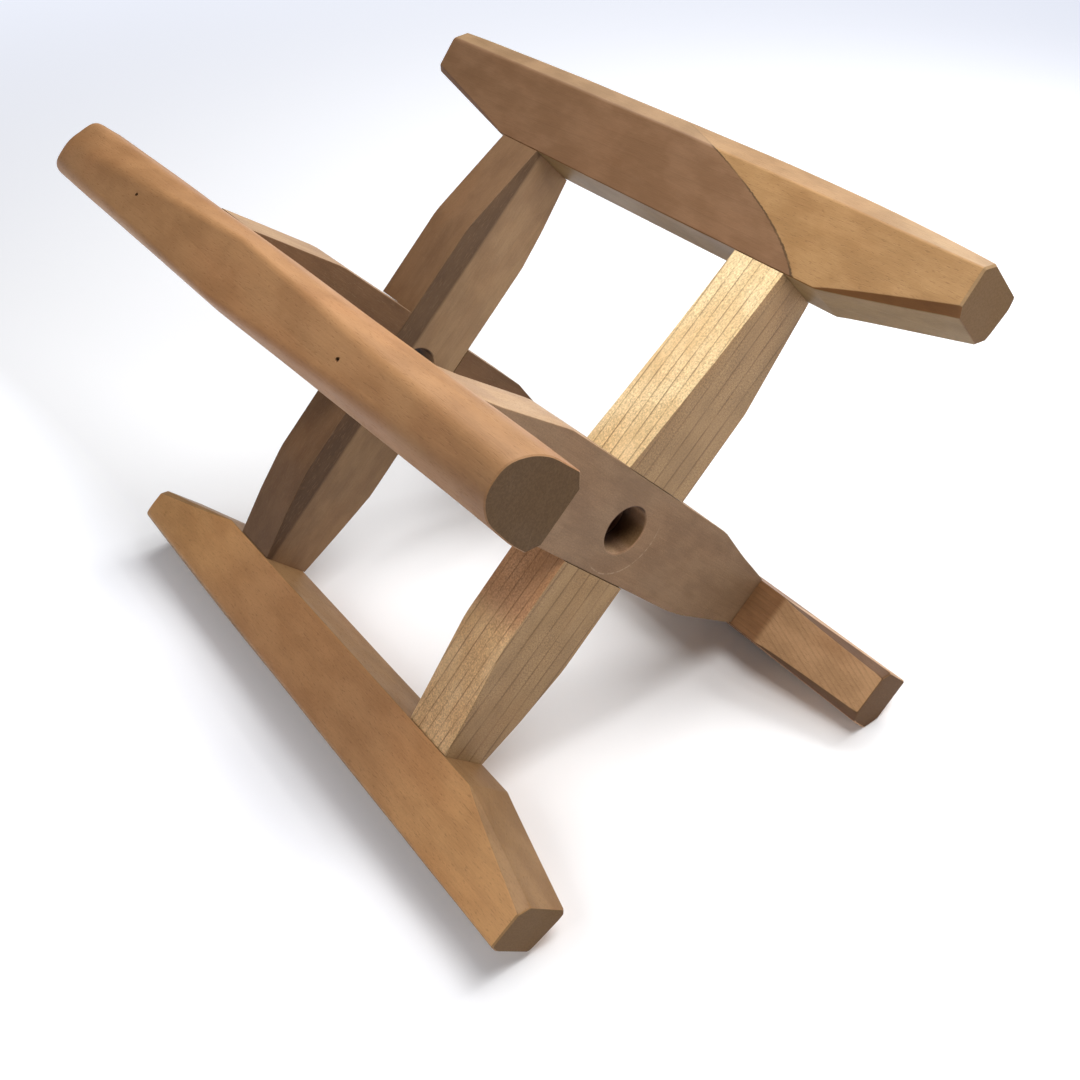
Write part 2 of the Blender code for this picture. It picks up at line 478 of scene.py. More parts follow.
IRON_COLOUR = colour(0.045, 0.036, 0.030)
RUST_COLOUR = colour(0.12, 0.045, 0.018)
RUST_SPOTS_PER_METRE = 3000.0
RUST_RELIEF = 0.02 * MM

# Values for clean iron and for rust.
IRON_ROUGHNESS = (0.45, 0.85)
IRON_METALLIC = (1.0, 0.1)

# The boundary between the brown and the pale wood of the two-toned rail: a curve through
# (radius, along) in millimetres, with its first and second order slopes.  Its line fades out
# between two distances from it, and the pale wood sets in within HEART_EDGE of it.
HEART_LINE = {"radius": 69.9, "along": -57.4, "slope": 0.917, "bend": 0.0577}
HEART_LINE_WIDTH = (0.2, 0.75)
HEART_LINE_RAGGEDNESS = 1.2
HEART_EDGE = 0.7

# Features that every wood shares.
MOTTLING_SIZE = (13.0, 7.0)
BLUSH_SIZE = (30.0, 15.0)
FIBRE_SIZE = (6.0, 0.33)
SPECKLE_PATCH_SIZE = (20.0, 12.0)
PORE_SIZE = (9.0, 0.5)
HANDLED_SIZE = (50.0, 24.0)
FLECK_CUT = (0.60, 0.72)
SPECULAR_LEVEL = 0.25
FLECK_ROUGHNESS = 0.12
END_GRAIN_ROUGHNESS = 0.25

# Growth lines: how fast they sway, per millimetre, where in a year's layer the dark late wood
# sets in and ends, and how the strength of a line varies from line to line and along it.
SWAY_RATE_ALONG = 0.012
SWAY_RATE_ACROSS = 0.06
LATE_WOOD = (0.3, 0.95)
LATE_WOOD_END = (0.965, 1.0)
LINE_NUMBER_STEP = 7.31
LINE_FADE_RATE = 0.08

# How high each feature stands in the surface texture.
FIBRE_RELIEF = 0.6
SPECKLE_RELIEF = 0.5
LINE_RELIEF = -0.5
FLECK_RELIEF = -0.6

# How squarely a face has to look along an axis, 0 to 1, to count as a piece's end, its flat
# side, the slope beside a rail's inner face, and the inner face itself.
END_FACING = (0.80, 0.97)
FLAT_FACING = (0.75, 0.92)
SLOPE_FACING = (0.35, 0.60)
SQUARE_FACING = (0.82, 0.93)

# The spindle bore, in millimetres: painted light on its wall where light reaches it, painted
# shade where it doesn't, and the dark tint of the seam between the two lapped arms.
BORE_WALL = (6.75, 7.1)
BORE_PAINTED_LIGHT = colour(1.22, 1.22, 1.28)
BORE_PAINTED_SHADE = colour(0.25, 0.18, 0.17)
BORE_SEAM = colour(0.15, 0.12, 0.10)
BORE_SEAM_SHARE = 0.85
BORE_SEAM_WIDTH = (0.06, 0.22)
BORE_ABOVE = (1.5, 6.0)
BORE_BEHIND = (-6.0, 2.0)
RUBBED_RING_RADIUS = 12.2
RUBBED_RING_WIDTH = (0.05, 0.3)
RUBBED_RING_TOP = (-12.0, -4.0)
RUBBED_TONE = colour(0.42, 0.30, 0.19)


# ---------------------------------------------------------------- mesh helpers


def eased_outline(corners):
    """Round each corner of a closed outline; a corner is (x, y, ease distance)."""
    outline = []
    for index, (x, y, ease) in enumerate(corners):
        here = Vector((x, y))
        before = Vector(corners[index - 1][:2])
        after = Vector(corners[(index + 1) % len(corners)][:2])
        start = here + (before - here).normalized() * min(ease, (before - here).length * 0.48)
        end = here + (after - here).normalized() * min(ease, (after - here).length * 0.48)
        for step in range(EASE_STEPS + 1):
            t = step / EASE_STEPS
            outline.append(start * (1 - t) ** 2 + here * (2 * t * (1 - t)) + end * t**2)
    return outline


def loft(name, rings):
    """Join equal rings of points with quads, and close both ends."""
    mesh = bmesh.new()
    vertex_rings = [[mesh.verts.new(point) for point in ring] for ring in rings]
    for ring, following in zip(vertex_rings, vertex_rings[1:]):
        for index in range(len(ring)):
            left = index - 1
            mesh.faces.new((ring[left], ring[index], following[index], following[left]))
    mesh.faces.new(vertex_rings[0])
    mesh.faces.new(vertex_rings[-1])
    bmesh.ops.recalc_face_normals(mesh, faces=mesh.faces)
    data = bpy.data.meshes.new(name)
    mesh.to_mesh(data)
    mesh.free()
    body = bpy.data.objects.new(name, data)
    bpy.context.scene.collection.objects.link(body)
    return body


def box(name, lower, upper):
    """Return a box between two opposite corners."""
    rings = []
    for x in (lower[0], upper[0]):
        rings.append(
            [
                (x, lower[1], lower[2]),
                (x, upper[1], lower[2]),
                (x, upper[1], upper[2]),
                (x, lower[1], upper[2]),
            ]
        )
    return loft(name, rings)


def turned(name, profile, segments):
    """Return a round body about the X axis, from (x, radius) stations."""
    rings = []
    for x, radius in profile:
        angles = [math.tau * step / segments for step in range(segments)]
        rings.append([(x, radius * math.cos(a), radius * math.sin(a)) for a in angles])
    return loft(name, rings)


def carve(body, cutters):
    """Subtract the cutters from the body's mesh, and remove them."""
    for cutter in cutters:
        modifier = body.modifiers.new(cutter.name, "BOOLEAN")
        modifier.operation = "DIFFERENCE"
        modifier.solver = "EXACT"
        modifier.object = cutter
    bpy.context.view_layer.update()
    evaluated = body.evaluated_get(bpy.context.evaluated_depsgraph_get())
    carved = bpy.data.meshes.new_from_object(evaluated)
    body.modifiers.clear()
    body.data = carved
    for cutter in cutters:
        bpy.data.objects.remove(cutter, do_unlink=True)


def shade(body):
    """Shade smoothly, with flat faces kept flat and cut edges kept crisp."""
    body.data.shade_smooth()
    body.data.set_sharp_from_angle(angle=SHARP_EDGE)
    modifier = body.modifiers.new("flat_faces", "WEIGHTED_NORMAL")
    modifier.keep_sharp = True
    modifier.weight = 100


def place(body, angle_degrees, y=0.0):
    """Turn a piece built along local +X to its angle about the spindle axis."""
    turn = Matrix.Rotation(-math.radians(angle_degrees), 4, "Y")
    body.matrix_world = Matrix.Translation((0.0, y, 0.0)) @ turn


def wander(along, lane, seed):
    """Return a slow, repeatable wander of a long edge from straight."""
    point = Vector((along / WANDER_LENGTH, lane * WANDER_LANE_STEP, seed * WANDER_SEED_STEP))
    return noise.noise(point) * HAND_WANDER


def stations(start, end, creases):
    """Return positions from start to end, with a close pair round each crease."""
    count = round((end - start) / STATION_STEP)
    places = {start + (end - start) * step / count for step in range(count + 1)}
    places = {p for p in places if all(abs(p - c) > CREASE_CLEARANCE for c in creases)}
    for crease in creases:
        places.update((crease - CREASE_HALF_WIDTH, crease + CREASE_HALF_WIDTH))
    return sorted(places)


def follow(edge, position):
    """Return the half width of an arm's edge at a position along it."""
    for (x0, w0), (x1, w1) in zip(edge, edge[1:]):
        if position <= x1 * MM:
            share = (position / MM - x0) / (x1 - x0)
            return (w0 + (w1 - w0) * share) * MM
    return edge[-1][1] * MM


# ---------------------------------------------------------------- rails


def mix(first, second, share):
    """Return a number, or each number of a section, part way from first to second."""
    if isinstance(first, tuple):
        return tuple(mix(a, b, share) for a, b in zip(first, second))
    return first + (second - first) * share


def end_and_share(rail, y):
    """Return which half of a rail y is in, 0 for the front, and how far along it y is."""
    end = 0 if y < 0 else 1
    return end, abs(y) / abs(rail["ends"][end] * MM)


def outer_radius(rail, y):
    """Return the radius of a rail's outer face at y, in millimetres."""
    end, share = end_and_share(rail, y)
    return mix(rail["middle"][0], rail[("front", "back")[end]][0], share**3)


def rail_corners(rail, y, seed):
    """Return the corners of a rail's section at y, as (radius, width, ease)."""
    end, share = end_and_share(rail, y)
    reach = abs(rail["ends"][end]) * MM
    taper_start, end_inner = rail["tapers"][end]
    taper = max(0.0, (abs(y) - taper_start * MM) / (reach - taper_start * MM))
    inner = mix(RAIL_INNER_RADIUS / MM, end_inner, taper)
    ease = mix(rail["ease"][1], rail["ease"][2 * end], share)
    near_end = rail[("front", "back")[end]]
    outer = outer_radius(rail, y)
    runs = []
    for side, direction in enumerate((1, -1)):
        section = mix(rail["middle"][1 + side], near_end[1 + side], share)
        inner_width, side_radius, side_width, shoulder, shoulder_width, flat_width = section
        nip = INNER_EDGE_NIP + rail["nips"][end][side] * taper**NIP_GROWTH
        slope = (side_width - inner_width) / (side_radius - RAIL_INNER_RADIUS / MM)
        side_radius = max(side_radius, inner + nip + RAIL_SIDE_LEAST)
        width = inner_width + slope * (inner - RAIL_INNER_RADIUS / MM)
        run = [
            (inner, width - nip, RAIL_INNER_EASE),
            (inner + nip, width + slope * nip, RAIL_INNER_EASE),
            (side_radius, side_width, RAIL_SIDE_EASE),
            (shoulder, shoulder_width, ease),
            (outer, flat_width, ease),
        ]
        for lane, (radius, width, corner_ease) in enumerate(run):
            lift = wander(y, lane, seed + direction)
            if lane == 0:  # the inner face never swells towards the arms' shoulders
                lift = max(lift, 0.0)
            spread = wander(y, lane + SPREAD_LANE, seed + direction)
            skyward = rail["skyward"] * direction
            run[lane] = (radius * MM + lift, skyward * (width * MM + spread), corner_ease * MM)
        runs.append(run)
    return runs[0] + runs[1][::-1]


def rail_ring(corners, y):
    """Return one closed ring of a rail at y, from its section's corners."""
    return [(point.x, y, point.y) for point in eased_outline(corners)]


def end_ring(ring, y, distance):
    """Return the ring of an end face at y, pulled in so that the end's edge is eased."""
    middle = sum((Vector(point) for point in ring), Vector()) / len(ring)
    pulled = []
    for point in ring:
        away = Vector(point) - middle
        inset = middle + away * (1 - distance / away.length)
        pulled.append((inset.x, y, inset.z))
    return pulled


def make_rail(name, rail, cross_places, seed):
    """Build one rail with its mortises and nail holes, in place of its CAD node."""
    front, back = (end * MM for end in rail["ends"])
    end_ease = rail["end_ease"] * MM
    creases = [-rail["tapers"][0][0] * MM, rail["tapers"][1][0] * MM]
    rings = []
    for y in stations(front + end_ease, back - end_ease, creases):
        rings.append(rail_ring(rail_corners(rail, y, seed), y))
    rings.insert(0, end_ring(rings[0], front, end_ease))
    rings.append(end_ring(rings[-1], back, end_ease))
    piece = loft(f"{name}_wood", rings)
    cutters = []
    for cross_y in cross_places:
        cutters.append(mortise_cutter(cross_y))
        cutters.append(nail_hole_cutter(cross_y))
    carve(piece, cutters)
    shade(piece)
    place(piece, rail["angle"])
    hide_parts(name)
    return piece


def mortise_cutter(y):
    """Return the box that cuts a rail's mortise at y."""
    half_thickness = TENON_THICKNESS / 2 + HIDDEN_GAP
    half_width = TENON_WIDTH / 2 + HIDDEN_GAP
    lower = (RAIL_INNER_RADIUS - CUTTER_OVERSHOOT, y - half_thickness, -half_width)
    upper = (RAIL_INNER_RADIUS + TENON_LENGTH, y + half_thickness, half_width)
    return box("mortise", lower, upper)


def nail_hole_cutter(y, turn=0.0):
    """Return the round cutter for a nail hole at y, from the nail's point outwards."""
    profile = [(NAIL_HOLE_FLOOR, NAIL_HOLE_RADIUS), (NAIL_HOLE_MOUTH, NAIL_HOLE_RADIUS)]
    cutter = turned("nail_hole", profile, NAIL_SEGMENTS)
    cutter.location.y = y
    cutter.rotation_euler.z = turn
    return cutter


def make_nail(name, rail, y):
    """Build one headless nail, sunk just below its rail's outer face, for its CAD node."""
    head = outer_radius(rail, y) * MM - NAIL_SINK
    profile = [
        (NAIL_POINT, NAIL_POINT_RADIUS),
        (NAIL_POINT + NAIL_POINT_LENGTH, NAIL_RADIUS),
        (head, NAIL_RADIUS),
    ]
    piece = turned(f"{name}_iron", profile, NAIL_SEGMENTS)
    shade(piece)
    place(piece, rail["angle"], y)
    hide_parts(name)
    return piece


# ---------------------------------------------------------------- arms


def arm_ring(x, upper, lower, half_thickness, skyward):
    """Return one closed ring of an arm at x; upper and lower are its half widths."""
    corners = [
        (-half_thickness, -lower, ARM_EDGE_EASE),
        (half_thickness, -lower, ARM_EDGE_EASE),
        (half_thickness, upper, ARM_EDGE_EASE),
        (-half_thickness, upper, ARM_EDGE_EASE),
    ]
    return [(x, point.x, skyward * point.y) for point in eased_outline(corners)]


def arm_rings(arm, thickness, skyward, seed):
    """Return all rings of an arm, with a tenon at each end."""
    shoulder = RAIL_INNER_RADIUS - VISIBLE_GAP
    tip = shoulder + TENON_LENGTH - HIDDEN_GAP
    tenon = (TENON_WIDTH / 2, TENON_WIDTH / 2, TENON_THICKNESS / 2, skyward)
    rings = [arm_ring(-tip, *tenon), arm_ring(-shoulder, *tenon)]
    for x in stations(-shoulder, shoulder, []):
        upper = follow(arm["upper_edge"], x) + wander(x, 1, seed)
        lower = follow(arm["lower_edge"], x) + wander(x, 2, seed)
        rings.append(arm_ring(x, upper, lower, thickness / 2, skyward))
    rings += [arm_ring(shoulder, *tenon), arm_ring(tip, *tenon)]
    return rings


def notch_cutter(arm, other_arm, thickness, notch_side):
    """Return the box that takes out half an arm's thickness where the other one crosses."""
    reach = follow(arm["upper_edge"], 0.0)
    edges = (other_arm["upper_edge"], other_arm["lower_edge"])
    half_length = max(follow(edge, x) for edge in edges for x in (-reach, reach)) + HAND_WANDER
    half_width = reach + CUTTER_OVERSHOOT
    floor = -notch_side * VISIBLE_GAP / 2
    outside = notch_side * (thickness / 2 + CUTTER_OVERSHOOT)
    lower = (-half_length, min(floor, outside), -half_width)
    upper = (half_length, max(floor, outside), half_width)
    return box("notch", lower, upper)


def bore_cutter(thickness):
    """Return the round cutter of the spindle bore, with its rims eased."""
    face = thickness / 2
    beyond = face + CUTTER_OVERSHOOT
    flared = BORE_RADIUS + BORE_RIM_EASE
    profile = [
        (-beyond, flared + CUTTER_OVERSHOOT),
        (-face, flared),
        (-face + BORE_RIM_EASE, BORE_RADIUS),
        (face - BORE_RIM_EASE, BORE_RADIUS),
        (face, flared),
        (beyond, flared + CUTTER_OVERSHOOT),
    ]
    cutter = turned("bore", profile, BORE_SEGMENTS)
    cutter.rotation_euler.z = math.radians(90)
    return cutter


def make_arm(name, arm, other_arm, notch_side, seed):
    """Build one arm, half-lapped and bored, in place of its CAD node."""
    low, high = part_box(name)
    thickness = high.y - low.y
    skyward = 1 if arm["angle"] == 45 else -1
    piece = loft(f"{name}_wood", arm_rings(arm, thickness, skyward, seed))
    cutters = [
        notch_cutter(arm, other_arm, thickness, notch_side),
        bore_cutter(thickness),
        nail_hole_cutter(0.0),
        nail_hole_cutter(0.0, turn=math.pi),
    ]
    carve(piece, cutters)
    shade(piece)
    place(piece, arm["angle"], (low.y + high.y) / 2)
    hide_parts(name)
    return piece


# ---------------------------------------------------------------- materials


class Graph:
    """Adds nodes to one new material and links them."""

    def __init__(self, name):
        self.material = bpy.data.materials.new(name)
        self.material.use_nodes = True
        self.nodes = self.material.node_tree.nodes
        self.links = self.material.node_tree.links
        self.shader = self.nodes["Principled BSDF"]

    def feed(self, socket, value):
        """Link a socket to another node's output, or set its value."""
        if isinstance(value, bpy.types.NodeSocket):
            self.links.new(value, socket)
        else:
            socket.default_value = value

    def math(self, operation, first, second=0.0, third=0.0, clamp=False):
        node = self.nodes.new("ShaderNodeMath")
        node.operation = operation
        node.use_clamp = clamp
        for socket, value in zip(node.inputs, (first, second, third)):
            self.feed(socket, value)
        return node.outputs[0]

    def split(self, vector):
        node = self.nodes.new("ShaderNodeSeparateXYZ")
        self.feed(node.inputs[0], vector)
        return list(node.outputs)

    def combine(self, x, y, z):
        node = self.nodes.new("ShaderNodeCombineXYZ")
        for socket, value in zip(node.inputs, (x, y, z)):
            self.feed(socket, value)
        return node.outputs[0]

    def noise(self, vector, detail=2.0, roughness=0.5):
        """Return a noise value whose features are about one unit of the vector across."""
        node = self.nodes.new("ShaderNodeTexNoise")
        self.feed(node.inputs["Vector"], vector)
        node.inputs["Scale"].default_value = 1.0
        node.inputs["Detail"].default_value = detail
        node.inputs["Roughness"].default_value = roughness
        return node.outputs["Fac"]

    def ramp(self, value, low, high, to_low=0.0, to_high=1.0):
        """Return a smooth step of the value from low to high."""
        node = self.nodes.new("ShaderNodeMapRange")
        node.interpolation_type = "SMOOTHSTEP"
        for socket, number in zip(node.inputs, (value, low, high, to_low, to_high)):
            self.feed(socket, number)
        return node.outputs[0]

    def blend(self, share, first, second, mode="MIX"):
        """Return a mix of two colours."""
        node = self.nodes.new("ShaderNodeMix")
        node.data_type = "RGBA"
        node.blend_type = mode
        self.feed(node.inputs["Factor"], share)
        self.feed(node.inputs[6], first)
        self.feed(node.inputs[7], second)
        return node.outputs[2]

    def bump(self, height, distance, normal=None):
        node = self.nodes.new("ShaderNodeBump")
        node.inputs["Strength"].default_value = 1.0
        node.inputs["Distance"].default_value = distance
        self.feed(node.inputs["Height"], height)
        if normal is not None:
            self.feed(node.inputs["Normal"], normal)
        return node.outputs[0]


class Grain(Graph):
    """The graph of one cut of wood: its grain axes in millimetres, and which way a face looks."""

    def __init__(self, name, wood, along_axis, seed):
        super().__init__(name)
        self.wood = wood
        self.seed = seed
        coordinates = self.nodes.new("ShaderNodeTexCoord")
        axes = self.split(coordinates.outputs["Object"])
        axes = [self.math("MULTIPLY", axis, 1.0 / MM) for axis in axes]
        self.along = axes.pop(along_axis)
        self.across, self.depth = axes
        facing = self.split(coordinates.outputs["Normal"])
        self.end = self.ramp(self.math("ABSOLUTE", facing.pop(along_axis)), *END_FACING)
        self.flat = self.ramp(self.math("ABSOLUTE", facing[1]), *FLAT_FACING)
        self.inward = self.math("MULTIPLY", facing[0], -1.0)

    def patches(self, size, detail, roughness=0.5):
        """Return noise with features of a length along the grain and a width."""
        length, width = size
        place_in_wood = self.combine(
            self.math("MULTIPLY_ADD", self.along, 1.0 / length, self.seed),
            self.math("MULTIPLY", self.across, 1.0 / width),
            self.math("MULTIPLY", self.depth, 1.0 / width),
        )
        return self.noise(place_in_wood, detail, roughness)

    def multiply(self, base, value):
        """Return a colour with all its channels multiplied by one value."""
        return self.blend(1.0, base, self.combine(value, value, value), "MULTIPLY")


def ground_colour(grain):
    """Return the wood's mottled tones, and how strongly it is flecked."""
    wood = grain.wood
    mottling = grain.patches(MOTTLING_SIZE, detail=4.0, roughness=0.55)
    tone = grain.ramp(mottling, 0.36, 0.64)
    base = grain.blend(tone, wood["dark"], wood["light"])
    flat_base = grain.blend(tone, wood["flat_dark"], wood["flat_light"])
    base = grain.blend(grain.flat, base, flat_base)
    if not wood["heart"]:
        return base, 1.0
    pale, boundary_line = heart_line(grain)
    base = grain.blend(pale, base, grain.blend(tone, wood["sap_dark"], wood["sap_light"]))
    base = grain.blend(boundary_line, base, wood["line"])
    return base, grain.ramp(pale, 0.0, 1.0, 0.35, 1.0)


def heart_line(grain):
    """Return the pale share of the two-toned rail's sides, and its dark boundary line."""
    height = grain.math("SUBTRACT", grain.across, HEART_LINE["radius"])
    climb = grain.math("MULTIPLY_ADD", height, HEART_LINE["bend"], HEART_LINE["slope"])
    boundary = grain.math("MULTIPLY_ADD", height, climb, HEART_LINE["along"])
    beyond = grain.math("SUBTRACT", boundary, grain.along)
    ragged = grain.noise(grain.combine(grain.along, grain.across, 0.0), detail=2.0)
    ragged = grain.math("SUBTRACT", ragged, 0.5)
    beyond = grain.math("MULTIPLY_ADD", ragged, HEART_LINE_RAGGEDNESS, beyond)
    pale = grain.ramp(beyond, -HEART_EDGE, HEART_EDGE)
    line = grain.ramp(grain.math("ABSOLUTE", beyond), *HEART_LINE_WIDTH, 1.0, 0.0)
    slow = grain.combine(grain.math("MULTIPLY", grain.across, 0.25), 3.0, 0.0)
    line = grain.math("MULTIPLY", line, grain.ramp(grain.noise(slow), 0.3, 0.55, 0.35, 0.95))
    return grain.math("MULTIPLY", pale, grain.flat), grain.math("MULTIPLY", line, grain.flat)


def shade_along(grain, base, shade_spec):
    """Tint the wood by its distance along the grain from a centre: mostly painted light and
    shade.

    The tint is "inner" nearer than the first number of "reach", and "outer" beyond the second.
    """
    distance = grain.math("ABSOLUTE", grain.math("SUBTRACT", grain.along, shade_spec["centre"]))
    far = grain.ramp(distance, *shade_spec["reach"])
    tint = grain.blend(far, shade_spec["inner"], shade_spec["outer"])
    shaded = grain.flat if shade_spec["flat_only"] else 1.0
    return grain.blend(shaded, base, tint, "MULTIPLY")


def edge_band(grain, base, band):
    """Paint a shadow on the broad faces of an arm, between a line along the grain and one edge.
    """
    share = grain.ramp(grain.depth, *band["start"])
    share = grain.math("MULTIPLY", share, grain.math("SUBTRACT", 1.0, grain.flat))
    return grain.blend(share, base, band["tint"], "MULTIPLY")


def inner_tint(grain, base):
    """Paint light and shade on a rail's inner face, and on the bevels beside it."""
    square = grain.ramp(grain.inward, *SQUARE_FACING)
    tint = grain.blend(square, grain.wood["bevel_tint"], grain.wood["inner_tint"])
    return grain.blend(grain.ramp(grain.inward, *SLOPE_FACING), base, tint, "MULTIPLY")


def tinted(grain, base):
    """Add every broad change of tone over a piece: painted light and shade, and the wood's blush.
    """
    wood = grain.wood
    for shade_spec in wood["shades"]:
        base = shade_along(grain, base, shade_spec)
    if wood["edge_band"]:
        base = edge_band(grain, base, wood["edge_band"])
    if wood["inner_tint"]:
        base = inner_tint(grain, base)
    blush = grain.ramp(grain.patches(BLUSH_SIZE, detail=2.0), 0.45, 0.70)
    blush = grain.math("MULTIPLY", blush, wood["blush_share"])
    return grain.blend(blush, base, wood["blush"], "MULTIPLY")


def growth_lines(grain):
    """Return how dark the growth line is at each point, 0 to 1."""
    wood = grain.wood
    slow = grain.combine(
        grain.math("MULTIPLY_ADD", grain.along, SWAY_RATE_ALONG, grain.seed),
        grain.math("MULTIPLY", grain.across, SWAY_RATE_ACROSS),
        grain.math("MULTIPLY", grain.depth, SWAY_RATE_ACROSS),
    )
    sway = grain.math("MULTIPLY", grain.noise(slow, detail=1.0), wood["line_sway"])
    layer = grain.math("MULTIPLY", grain.across, 1.0 / wood["line_spacing"][0])
    layer = grain.math("MULTIPLY_ADD", grain.depth, 1.0 / wood["line_spacing"][1], layer)
    layer = grain.math("MULTIPLY_ADD", grain.along, wood["line_slope"], layer)
    layer = grain.math("ADD", layer, sway)
    fraction = grain.math("FRACT", layer)
    late = grain.math("POWER", grain.ramp(fraction, *LATE_WOOD), wood["line_sharpness"])
    line = grain.math("MULTIPLY", late, grain.ramp(fraction, *LATE_WOOD_END, 1.0, 0.0))
    number = grain.math("FLOOR", layer)
    place_on_line = grain.combine(
        grain.math("MULTIPLY", number, LINE_NUMBER_STEP),
        grain.math("MULTIPLY", grain.along, LINE_FADE_RATE),
        grain.seed,
    )
    strength = grain.noise(place_on_line, detail=2.0)
    return grain.math("MULTIPLY", line, grain.ramp(strength, 0.3, 0.62, 0.3, 1.0))


def speckled(grain, base, sparkle):
    """Vary the tone from fibre to fibre, more in some patches than in others."""
    patch = grain.ramp(grain.patches(SPECKLE_PATCH_SIZE, detail=1.0), 0.35, 0.6, 0.5, 1.0)
    swing = grain.math("MULTIPLY", grain.math("SUBTRACT", sparkle, 0.5), patch)
    return grain.multiply(base, grain.math("MULTIPLY_ADD", swing, grain.wood["speckle"], 1.0))


def end_grain(grain, base):
    """Give the piece's ends their own darker, porous tone."""
    pores = grain.ramp(grain.patches(PORE_SIZE, detail=2.0), 0.35, 0.65)
    tone = grain.blend(pores, grain.wood["end_dark"], grain.wood["end_light"])
    return grain.blend(grain.end, base, tone)


def bore_wall(grain, base, distance, height):
    """Paint light on the bore's wall where light reaches it and shade where little does; darken
    its lap seam.
    """
    above = grain.ramp(height, *BORE_ABOVE)
    behind = grain.ramp(grain.across, *BORE_BEHIND)
    hidden = grain.math("MAXIMUM", above, behind)
    shading_and_seam = grain.blend(hidden, BORE_PAINTED_LIGHT, BORE_PAINTED_SHADE)
    seam = grain.ramp(grain.math("ABSOLUTE", grain.across), *BORE_SEAM_WIDTH, 1.0, 0.0)
    shading_and_seam = grain.blend(grain.math("MULTIPLY", seam, BORE_SEAM_SHARE), shading_and_seam, BORE_SEAM)
    return grain.blend(grain.ramp(distance, *BORE_WALL, 1.0, 0.0), base, shading_and_seam, "MULTIPLY")


def rubbed_ring(grain, base, distance, height):
    """Add the faint ring that a spindle's shoulder has rubbed below the bore."""
    off_ring = grain.math("ABSOLUTE", grain.math("SUBTRACT", distance, RUBBED_RING_RADIUS))
    ring = grain.ramp(off_ring, *RUBBED_RING_WIDTH, 1.0, 0.0)
    ring = grain.math("MULTIPLY", ring, grain.ramp(height, *RUBBED_RING_TOP, 1.0, 0.0))
    worn = grain.noise(grain.combine(grain.along, grain.across, grain.depth), detail=0.0)
    ring = grain.math("MULTIPLY", ring, grain.ramp(worn, 0.35, 0.6, 0.1, 0.5))
    return grain.blend(ring, base, RUBBED_TONE)


def bore_marks(grain, base):
    """Add the painted light and shade on an arm's bore wall, its dark lap seam and any rubbed
    ring.
    """
    square = grain.math("MULTIPLY", grain.depth, grain.depth)
    square = grain.math("MULTIPLY_ADD", grain.along, grain.along, square)
    distance = grain.math("SQRT", square)
    height = grain.math("MULTIPLY_ADD", grain.depth, grain.wood["depth_up"], grain.along)
    base = bore_wall(grain, base, distance, height)
    if grain.wood["rubbed"]:
        base = rubbed_ring(grain, base, distance, height)
    return base


def wood_material(name, wood, along_axis, seed):
    """Return a cut of bare wood: tones with painted light and shade, growth lines, fibre, flecks,
    end grain and fine bump.
    """
    grain = Grain(name, wood, along_axis, seed)
    base, flecked = ground_colour(grain)
    base = tinted(grain, base)

    lines = growth_lines(grain)
    base = grain.blend(grain.math("MULTIPLY", lines, wood["line_share"]), base, wood["line"])

    fibre = grain.patches(FIBRE_SIZE, detail=3.0, roughness=0.6)
    streak = grain.ramp(fibre, 0.3, 0.7, 1.0 - wood["fibre"], 1.0 + wood["fibre"])
    base = grain.multiply(base, streak)

    fleck = grain.ramp(grain.patches(wood["fleck_size"], detail=1.0), *FLECK_CUT)
    fleck = grain.math("MULTIPLY", fleck, flecked)
    base = grain.blend(grain.math("MULTIPLY", fleck, wood["fleck_share"]), base, wood["fleck"])

    sparkle = grain.patches(wood["speckle_size"], detail=1.0)
    base = speckled(grain, base, sparkle)
    base = end_grain(grain, base)
    if wood["bored"]:
        base = bore_marks(grain, base)
    grain.feed(grain.shader.inputs["Base Color"], base)
    grain.feed(grain.shader.inputs["Roughness"], wood_roughness(grain, fleck))
    grain.shader.inputs["Specular IOR Level"].default_value = SPECULAR_LEVEL

    relief = grain.math("MULTIPLY", sparkle, SPECKLE_RELIEF)
    relief = grain.math("MULTIPLY_ADD", fibre, FIBRE_RELIEF, relief)
    relief = grain.math("MULTIPLY_ADD", lines, LINE_RELIEF, relief)
    relief = grain.math("MULTIPLY_ADD", fleck, FLECK_RELIEF, relief)
    grain.feed(grain.shader.inputs["Normal"], grain.bump(relief, wood["relief"] * MM))
    return grain.material


def wood_roughness(grain, fleck):
    """Return a roughness that is lower where hands have polished the wood."""
    handled = grain.ramp(grain.patches(HANDLED_SIZE, detail=3.0), 0.35, 0.7)
    roughness = grain.ramp(handled, 0.0, 1.0, *grain.wood["roughness"])
    roughness = grain.math("MULTIPLY_ADD", fleck, FLECK_ROUGHNESS, roughness)
    return grain.math("MULTIPLY_ADD", grain.end, END_GRAIN_ROUGHNESS, roughness)


def nail_material():
    """Return dark iron with a little rust."""
    graph = Graph("nail_iron")
    coordinates = graph.nodes.new("ShaderNodeTexCoord").outputs["Object"]
    scale = graph.nodes.new("ShaderNodeVectorMath")
    scale.operation = "SCALE"
    graph.feed(scale.inputs[0], coordinates)
    scale.inputs["Scale"].default_value = RUST_SPOTS_PER_METRE
    rust = graph.ramp(graph.noise(scale.outputs[0], detail=3.0), 0.45, 0.65)
    base = graph.blend(rust, IRON_COLOUR, RUST_COLOUR)
    graph.feed(graph.shader.inputs["Base Color"], base)
    graph.feed(graph.shader.inputs["Roughness"], graph.ramp(rust, 0.0, 1.0, *IRON_ROUGHNESS))
    graph.feed(graph.shader.inputs["Metallic"], graph.ramp(rust, 0.0, 1.0, *IRON_METALLIC))
    graph.feed(graph.shader.inputs["Normal"], graph.bump(rust, RUST_RELIEF))
    return graph.material


